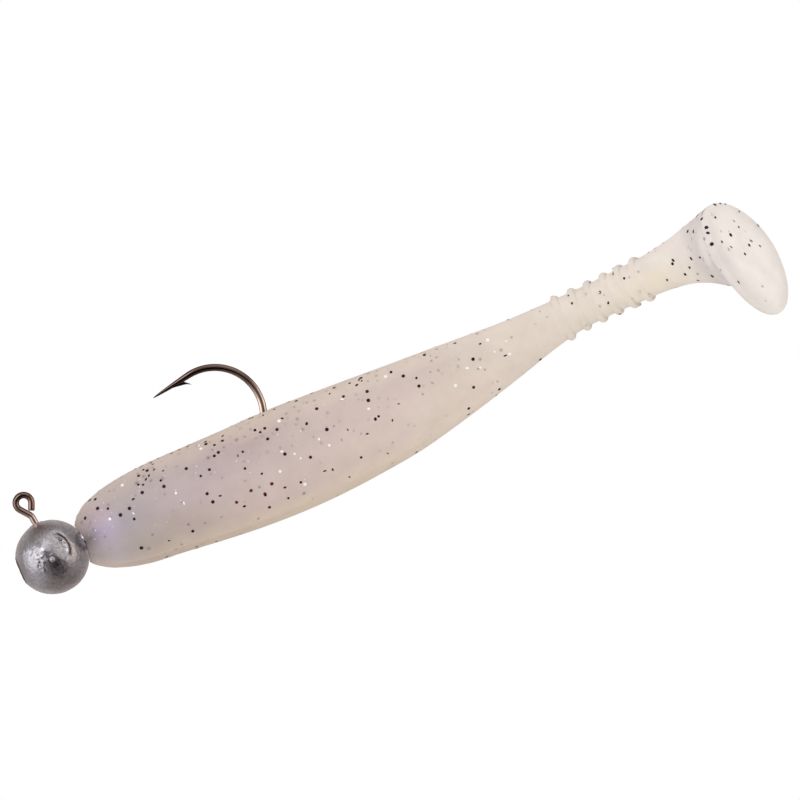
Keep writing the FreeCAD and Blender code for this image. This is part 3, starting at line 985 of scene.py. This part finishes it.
# Colours along the bait. A stop is a distance from the ball's centre, and red, green and blue.
# They are partly the plastic's own tint and partly painted light: the lilac of the flank's middle
# paints the pearl's sheen, the lighter tan of back and belly and the cream of the tail paint light
# shining through the thin milky plastic, and the dark grey beside the ball paints its shadow,
# with the lead showing through.
# cream: painted light shining through the thin paddle
TAIL_STOP = (104, 248, 239, 231)
LOWER_FLANK = (
    (6, 172, 158, 158), (8.5, 182, 169, 175), (12, 176, 164, 156), (18, 186, 169, 162),
    (30, 206, 187, 180), (46, 213, 195, 185), (62, 224, 208, 195), (80, 228, 216, 202),
    (92, 235, 222, 204), (98, 236, 226, 213), TAIL_STOP)
# each band covers what lies under it, more and more from its first height to its second
BANDS = (
    (-0.45, 0.05, (  # middle of the flank
        # dark grey by the ball: painted shadow with the lead showing through; lilac: painted pearl
        # sheen
        (5.2, 120, 114, 106), (6.2, 142, 131, 138), (7.2, 172, 158, 178), (8.5, 186, 171, 190),
        (11, 174, 163, 168), (18, 191, 174, 175), (32, 201, 183, 178), (50, 215, 196, 188),
        (66, 221, 207, 193), (84, 230, 217, 207), (93, 236, 223, 206), (98, 237, 227, 216),
        TAIL_STOP)),
    (0.05, 0.5, (  # upper flank
        (6, 175, 157, 160), (8.5, 184, 166, 170), (12, 177, 165, 164), (18, 186, 171, 169),
        (30, 186, 167, 165), (42, 204, 186, 179), (58, 208, 191, 182), (70, 224, 211, 198),
        (88, 231, 219, 207), (98, 236, 226, 218), TAIL_STOP)),
    (0.6, 0.95, (  # back
        # lighter tan: painted light shining through the thin plastic at the edge
        (5, 197, 179, 171), (12, 202, 184, 176), (26, 208, 189, 176), (46, 217, 199, 186),
        (62, 226, 211, 198), (84, 231, 218, 207), (98, 236, 226, 219), TAIL_STOP)),
    (-0.6, -0.95, (  # belly
        # lighter tan: painted light shining through the thin plastic at the edge
        (5, 206, 188, 178), (12, 200, 181, 166), (26, 218, 198, 178), (46, 224, 206, 186),
        (62, 229, 213, 198), (84, 234, 221, 208), (98, 236, 225, 211), TAIL_STOP)),
)
# painted shade under the chine, in a pinker, yellower tone
UNDER_CHINE_SHADE = ((8, 196, 172, 160), (20, 200, 180, 162), (40, 216, 198, 176), (60, 222, 207, 190))


def plastic_tint_and_painted_light(n):
    """Milky lilac-pink at the nose and flanks, tan towards back and belly, cream at the tail:
    partly the plastic's own tint, partly painted sheen, painted light through thin plastic and
    painted shadow.
    """
    along = n.math("DIVIDE", n.attribute("along"), PLASTIC_LENGTH)
    place = n.math("ADD", along, n.drift(90, 0.03))

    def over_length(stops, interpolation="LINEAR"):
        return n.ramp(place, [(x / PLASTIC_LENGTH, rgb(*c)) for x, *c in stops], interpolation)

    height = n.math("ADD", n.attribute("rise"), n.drift(200, 0.3))
    colour = over_length(LOWER_FLANK)
    for low, high, stops in BANDS:
        colour = n.mix(n.map_range(height, low, high), colour, over_length(stops))
    # painted shade on the strip under the chine
    colour = n.mix(painted_belly_shade(n), colour, over_length(UNDER_CHINE_SHADE, "EASE"))
    # painted highlight along the chine's edge
    colour = n.mix(painted_chine_highlight(n), colour, rgb(216, 200, 184))
    # painted shade: lilac-grey in the fold between flare and paddle, where shade falls
    colour = n.mix(n.times(n.attribute("crease"), 0.66), colour, rgb(210, 198, 196))
    # painted light: lighter between the ribs, cancelling the shade that falls between the beads
    colour = n.mix(n.times(n.attribute("groove"), 0.15), colour, rgb(255, 246, 236))
    veins = n.map_range(n.noise(330, 4.0, 0.6), 0.3, 0.7, 0.95, 1.04)
    return n.mix(1.0, colour, veins, "MULTIPLY")


def on_body(n, start, full, fading, end):
    """1 along the body from full to fading, 0 before start and after end."""
    along = n.attribute("along")
    return n.times(n.map_range(along, start, full), n.map_range(along, end, fading))


def painted_belly_shade(n):
    """The pinker, yellower, slightly darker strip under the chine, from the nose to where the body
    narrows: painted shade where the belly turns down away from the light.
    """
    below = n.map_range(n.attribute("turn"), CHINE_ANGLE, CHINE_ANGLE - 5)
    return n.times(n.times(below, 0.65), on_body(n, 7.0, 12.0, 50.0, 66.0))


def painted_chine_highlight(n):
    """A faint lighter line along the chine: a painted highlight where its edge catches the light.
    """
    off = n.math("ABSOLUTE", n.math("SUBTRACT", n.attribute("turn"), CHINE_ANGLE + 1.5))
    return n.times(n.times(n.map_range(off, 3.2, 0.6), 0.35), on_body(n, 6.0, 9.0, 44.0, 60.0))


def soft_plastic():
    n = new_material("milky_soft_plastic")
    n.shade("Base Color", plastic_tint_and_painted_light(n))
    n.shade("Roughness", n.map_range(n.noise(900, 2.0), 0.3, 0.7, 0.42, 0.55))
    n.shade("Specular IOR Level", 0.3)
    n.bump(n.noise(1500, 4.0, 0.6), 0.1, 0.0002)
    return n.owner


def sunk_flake(name, tint, strength, softness):
    """A flake seen dimly through the milky plastic: the plastic's colour with a soft spot in it."""
    n = new_material(name)
    shape = n.map_range(n.attribute("core"), 0.0, softness)
    amount = n.times(n.times(n.attribute("depth"), strength), shape)
    n.shade("Base Color", n.mix(amount, plastic_tint_and_painted_light(n), tint))
    n.shade("Roughness", 0.48)
    n.shade("Specular IOR Level", 0.3)
    return n.owner


def flake_material(name, dark, light, roughness, specular):
    n = new_material(name)
    n.shade("Base Color", n.mix(n.noise(1400, 2.0), dark, light))
    n.shade("Roughness", roughness)
    n.shade("Specular IOR Level", specular)
    return n.owner


def lead():
    """Cast lead: blue-grey, lightly brushed and pitted, with brighter and browner places,
    and black painted shadow in the ring round the sprue and the fold by the pit.
    """
    n = new_material("cast_lead")
    bright = n.ramp(n.noise(240, 5.0, 0.6), [
        (0.32, rgb(170, 165, 167)), (0.5, rgb(194, 190, 195)), (0.68, rgb(221, 219, 226))])
    dull = n.ramp(n.noise(420, 5.0, 0.65), [
        (0.32, rgb(124, 102, 94)), (0.5, rgb(150, 130, 122)), (0.68, rgb(174, 159, 154))])
    pores = n.noise(2300, 4.0, 0.7)
    grain = n.ramp(pores, [(0.33, (0.80, 0.78, 0.77, 1)), (0.6, (1, 1, 1, 1))])
    tone = n.mix(n.attribute("dull_and_shadow"), bright, dull)
    # painted shadow: black where shade falls in the ring round the sprue and the fold by the pit
    black = n.map_range(n.attribute("dull_and_shadow"), 1.1, 1.7)
    tone = n.mix(black, tone, rgb(40, 34, 34))
    n.shade("Base Color", n.mix(1.0, tone, grain, "MULTIPLY"))
    n.shade("Metallic", n.math("SUBTRACT", 1.0, black))
    smooth = n.map_range(n.noise(600, 4.0), 0.3, 0.7, 0.13, 0.27)
    n.shade("Roughness", n.math("ADD", smooth, n.times(black, 0.65)))
    n.bump(pores, 0.35, 0.0002)
    return n.owner


def hook_finish():
    """Glossy black nickel over steel wire, with a warm bronze cast. Painted reflection makes it
    brighter along the shank and bend and darker at the eye and the point.
    """
    n = new_material("bronze_black_wire")
    # painted reflection: brighter along the shank and bend, darker at the eye and the point
    along = n.ramp(n.attribute("painted_sheen"), [
        (0.0, rgb(176, 144, 134)), (0.08, rgb(130, 106, 96)), (0.15, rgb(130, 106, 96)),
        (0.24, rgb(150, 124, 116)), (0.33, rgb(226, 200, 190)), (0.68, rgb(240, 212, 198)),
        (0.76, rgb(144, 120, 108)), (0.88, rgb(120, 98, 90)), (1.0, rgb(88, 72, 66))])
    wear = n.map_range(n.noise(900), 0.35, 0.65, 0.85, 1.05)
    n.shade("Base Color", n.mix(1.0, along, wear, "MULTIPLY"))
    n.shade("Metallic", 1.0)
    n.shade("Specular Tint", (0.12, 0.05, 0.035, 1.0))
    n.shade("Roughness", n.map_range(n.noise(1600), 0.3, 0.7, 0.04, 0.09))
    n.bump(n.noise(2400), 0.06, 0.0001)
    return n.owner


def floor_finish():
    n = new_material("pale_floor")
    stops = [(0.3, rgb(244, 243, 241)), (0.7, rgb(250, 249, 248))]
    n.shade("Base Color", n.ramp(n.noise(9), stops))
    n.shade("Roughness", 0.9)
    return n.owner


# ---- assembly ----

RIB_NUMBERS = range(1, RIB_COUNT + 1)
SKIN_NODES = [["body_front"], ["body_middle"], ["body_rear"]] + [
    ["tail_rib_%d" % i] for i in RIB_NUMBERS]
SKIN_NODES[-1].append("tail_paddle")
BODY_BEND_REACH = 7.0  # start and end of the bend, this far either side of each body hinge
STEM_BEND_REACH = 1.05  # and of each stem hinge


def bend_span(hinge):
    """Start and end of the bend across one hinge, in the frame."""
    names = BODY_JOINTS + TAIL_JOINTS
    xs = [joint_place(n)[0] for n in BODY_JOINTS] + list(TAIL_HINGES_X)
    reach = BODY_BEND_REACH if names[hinge] in BODY_JOINTS else STEM_BEND_REACH
    z = joint_place(names[hinge])[2]
    ends = placed(kicked([(xs[hinge] - reach, 0, z), (xs[hinge] + reach, 0, z)]))
    return tuple(ends[0]), tuple(ends[1])


def make_soft_plastic():
    skin = Skin()
    plastic = soft_plastic()
    flake_materials = [
        flake_material("flake_black", rgb(26, 13, 18), rgb(52, 34, 42), 0.5, 0.2),
        sunk_flake("flake_deep", rgb(92, 74, 100), 0.75, 1.0),
        flake_material("flake_silver", rgb(236, 236, 238), rgb(255, 255, 255), 0.35, 0.6),
        # flakes deep in the plastic, painted white as they glint
        sunk_flake("flake_painted_glint", rgb(250, 248, 250), 0.9, 0.8),
        flake_material("flake_red", rgb(56, 5, 9), rgb(128, 12, 20), 0.5, 0.3)]
    edges = [0] + skin.cuts + [skin.rings - 1]
    flakes = [[] for _ in edges[1:]]
    for kind in FLAKE_KINDS:
        for spot in scatter(skin, kind):
            piece = int(np.searchsorted(edges, spot[0], side="right")) - 1
            made = flake(skin, spot, kind) + (kind,)
            if not in_slit(skin, spot):
                flakes[min(piece, len(flakes) - 1)].append(made)
    for i, (first, last) in enumerate(zip(edges, edges[1:])):
        start, end = bend_span(i)
        piece = skin_piece(skin, "skin_%d" % (i + 1), first, last, plastic)
        piece.visible_glossy = i > 0  # the milky nose lets light through to the lead behind it
        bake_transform(piece)
        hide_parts(*SKIN_NODES[i])
        if flakes[i]:
            glitter = flake_piece("glitter_%d" % (i + 1), flakes[i], flake_materials)
            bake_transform(glitter)


# ---- studio ----

def area_light(name, place, power, target):
    data = bpy.data.lights.new(name, "AREA")
    data.shape, data.size, data.size_y = "RECTANGLE", LIGHT_SIZE, LIGHT_SIZE
    data.energy = power
    light = bpy.data.objects.new(name, data)
    bpy.context.scene.collection.objects.link(light)
    light.visible_glossy = False
    light.location = place
    light.rotation_euler = (Vector(target) - Vector(place)).to_track_quat("-Z", "Y").to_euler()


# metres and watts, as the lights and the floor stand in the frame
LIGHT_SIZE = 0.35
FLOOR_RADIUS = 0.26
FLOOR_DROP = 0.075  # below the lowest point of the bait
DIFFUSE_LIGHT = 0.85  # the world's even light on everything that isn't a reflection

# What shiny things reflect: a soft grey tent, dark round the camera and a little below it, with
# a large soft light to its left and a weaker one to its right.
TENT = (0.40, 0.382, 0.376)
TENT_PATCHES = (  # shares of near, up and right, cosines of its edge and core, light added
    ((0.80, -0.52, 0.30), 0.70, 0.92, (-0.27, -0.26, -0.25)),
    ((1.00, -0.08, 0.04), 0.90, 0.975, (-0.18, -0.18, -0.18)),
    ((0.42, -0.10, -0.88), 0.78, 0.93, (0.50, 0.51, 0.54)),
    ((0.45, 0.00, -0.85), 0.90, 0.96, (0.62, 0.62, 0.64)),
    ((0.50, 0.86, 0.00), 0.76, 0.96, (0.50, 0.51, 0.53)),
    ((0.78, 0.42, -0.48), 0.955, 0.985, (2.6, 2.65, 2.7)),
    ((0.40, 0.25, 0.88), 0.80, 0.93, (0.27, 0.25, 0.21)),
    ((0.42, 0.38, 0.82), 0.92, 0.965, (0.6, 0.57, 0.52)),
    ((0.44, 0.02, 0.90), 0.92, 0.965, (0.2, 0.19, 0.17)),
    ((0.20, -0.75, -0.60), 0.75, 0.97, (0.13, 0.14, 0.15)),
    ((-1.00, 0.00, 0.00), 0.35, 0.90, (0.20, 0.155, 0.145)),
)


def make_tent(n):
    """The tent's light in each direction: a sum of soft round patches."""
    direction = n.add("TexCoord", {})["Generated"]
    total = TENT
    for (near, up, right), edge, core, light in TENT_PATCHES:
        axis = tuple((NEAR * near + UP * up + RIGHT * right).normalized())
        dot = n.add("VectorMath", {0: direction, 1: axis}, operation="DOT_PRODUCT")["Value"]
        patch = n.map_range(dot, edge, core, interpolation_type="SMOOTHSTEP")
        scaled = n.add("VectorMath", {0: light, "Scale": patch}, operation="SCALE")["Vector"]
        total = n.add("VectorMath", {0: scaled, 1: total}, operation="ADD")["Vector"]
    return total


def make_studio():
    """White where the camera looks past the bait, the tent for reflections, even light besides."""
    scene = bpy.context.scene
    scene.view_settings.view_transform = "Standard"
    scene.view_settings.look = "None"
    scene.world = bpy.data.worlds.new("studio")
    n = Nodes(scene.world)
    ray = n.add("LightPath", {})
    light = n.mix(ray["Is Glossy Ray"], (DIFFUSE_LIGHT,) * 3 + (1.0,), make_tent(n))
    light = n.mix(ray["Is Camera Ray"], light, (1, 1, 1, 1))
    n.put(light, n.nodes["Background"].inputs["Color"])
    middle = tuple((CAD_LOW + CAD_HIGH) / 2)
    area_light("key", (middle[0] - 0.25, -0.40, 0.30), 0.45, middle)
    area_light("fill", (middle[0] + 0.30, -0.45, 0.02), 0.25, middle)


def make_floor(material):
    """A plain round floor a little below the bait."""
    sides = 96
    x, z = (CAD_LOW.x + CAD_HIGH.x) / 2, CAD_LOW.z - FLOOR_DROP
    points = [(x, 0, z)] + [(x + FLOOR_RADIUS * cos(a), FLOOR_RADIUS * sin(a), z)
                            for a in circle(sides)]
    floor = new_mesh("floor", points, fan(0, 1, sides), [material])
    floor.visible_glossy = False


make_camera()
lead_material = lead()
make_ball(lead_material)
make_collar(lead_material)
make_hook(hook_finish())
make_soft_plastic()
make_studio()
make_floor(floor_finish())
